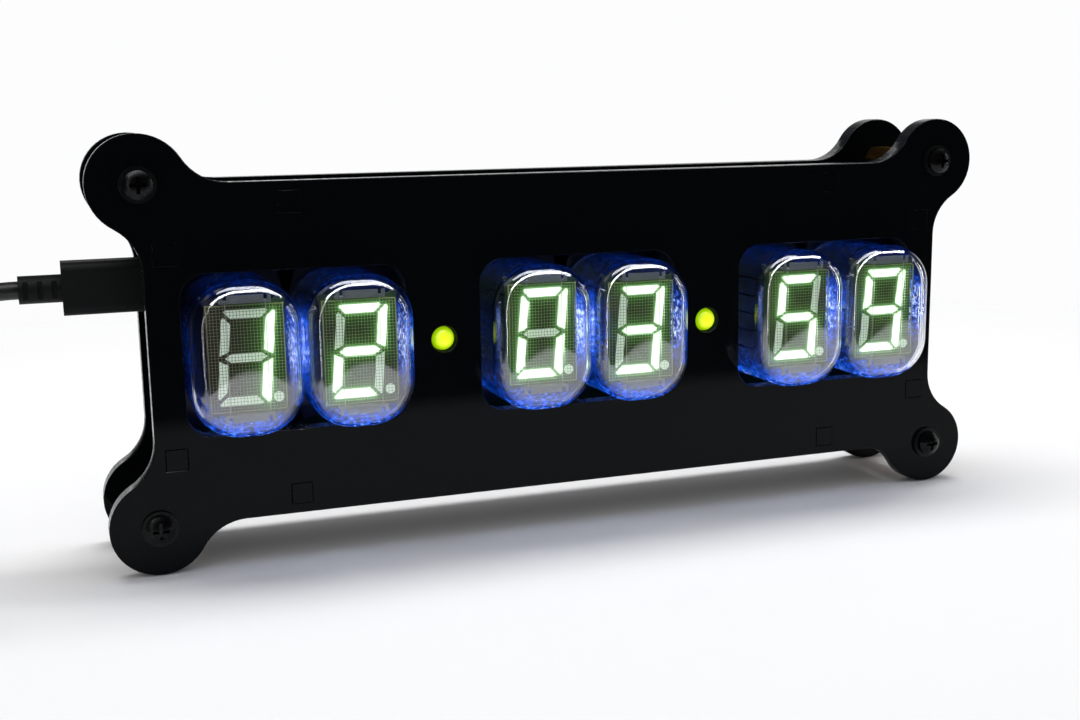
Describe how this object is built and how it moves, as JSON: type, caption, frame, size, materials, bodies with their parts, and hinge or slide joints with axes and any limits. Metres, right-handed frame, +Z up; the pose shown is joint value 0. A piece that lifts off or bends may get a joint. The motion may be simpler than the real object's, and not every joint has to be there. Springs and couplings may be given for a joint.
{
  "type": "vacuum fluorescent clock",
  "caption": "Desk clock with glowing seven-segment fluorescent tubes set in pairs between two black acrylic sheets on brass standoffs, with colon lamps and a plug-in supply lead.",
  "frame": {"origin": "on the table, under the middle of the case", "axes": "+X to the right of someone who reads the clock, +Y to the back, +Z up"},
  "size_m": [0.3022, 0.0664, 0.0855],
  "materials": {
    "black_acrylic": "polished cast acrylic",
    "brass": "machined",
    "black_steel": "black zinc, satin",
    "black_nylon": "satin",
    "board_laminate": "solder mask",
    "white_nylon": "matt",
    "bright_steel": "plated",
    "clear_glass": "clear, fire-polished",
    "grid_mesh": "etched mesh",
    "anode_ceramic": "matt",
    "lit_phosphor": "glowing",
    "unlit_phosphor": "powder coating",
    "filament_wire": "drawn wire",
    "nickel_strip": "rolled",
    "green_lamp": "tinted epoxy, lit",
    "blue_lamp": "clear epoxy, lit",
    "black_component": "moulded",
    "capacitor_sleeve": "shrink sleeve",
    "moulded_black": "fine-grained moulding",
    "cord_black": "satin",
    "tie_black": "woven hook tape"
  },
  "bodies": {
    "clock": {"front_plate": "black_acrylic", "rear_plate": "black_acrylic", "top_wall": "black_acrylic", "bottom_wall": "black_acrylic", "left_wall": "black_acrylic", "right_wall": "black_acrylic", "standoffs": "brass", "front_screws": "black_steel", "rear_screws": "black_steel", "board_screws": "black_steel", "front_washers": "black_nylon", "rear_washers": "black_nylon", "main_board": "board_laminate", "board_spacers": "white_nylon", "board_nuts": "bright_steel", "socket_shell": "bright_steel", "crystal": "bright_steel", "coin_cell": "bright_steel", "tube_1_glass": "clear_glass", "tube_2_glass": "clear_glass", "tube_3_glass": "clear_glass", "tube_4_glass": "clear_glass", "tube_5_glass": "clear_glass", "tube_6_glass": "clear_glass", "tube_bases": "clear_glass", "tube_1_grid": "grid_mesh", "tube_2_grid": "grid_mesh", "tube_3_grid": "grid_mesh", "tube_4_grid": "grid_mesh", "tube_5_grid": "grid_mesh", "tube_6_grid": "grid_mesh", "anode_plates": "anode_ceramic", "lit_segments": "lit_phosphor", "dark_segments": "unlit_phosphor", "filaments": "filament_wire", "tube_leads": "filament_wire", "lamp_leads": "filament_wire", "filament_brackets": "nickel_strip", "getters": "nickel_strip", "colon_lamp_left": "green_lamp", "colon_lamp_right": "green_lamp", "backlights": "blue_lamp", "chips": "black_component", "cell_holder": "black_component", "choke": "black_component", "switches": "black_component", "socket_tongue": "black_component", "capacitors": "capacitor_sleeve"},
    "supply_lead": {"plug_shell": "bright_steel", "plug_grip": "moulded_black", "strain_relief": "moulded_black", "cord_lead": "cord_black", "cord_coil": "cord_black", "coil_ties": "tie_black", "far_plug_grip": "moulded_black", "far_plug_shell": "bright_steel"},
    "button_left": {"button_left": "black_component"},
    "button_middle": {"button_middle": "black_component"},
    "button_right": {"button_right": "black_component"}
  },
  "joints": [
    {"name": "plug_slide", "type": "slide", "parent": "clock", "child": "supply_lead", "axis": [-1, 0, 0], "range_m": [0, 0.02]},
    {"name": "button_left_press", "type": "slide", "parent": "clock", "child": "button_left", "axis": [0, -1, 0], "range_m": [0, 0.00025], "stiffness_N_per_m": 3200, "springref_m": -0.00025},
    {"name": "button_middle_press", "type": "slide", "parent": "clock", "child": "button_middle", "axis": [0, -1, 0], "range_m": [0, 0.00025], "stiffness_N_per_m": 3200, "springref_m": -0.00025},
    {"name": "button_right_press", "type": "slide", "parent": "clock", "child": "button_right", "axis": [0, -1, 0], "range_m": [0, 0.00025], "stiffness_N_per_m": 3200, "springref_m": -0.00025}
  ]
}
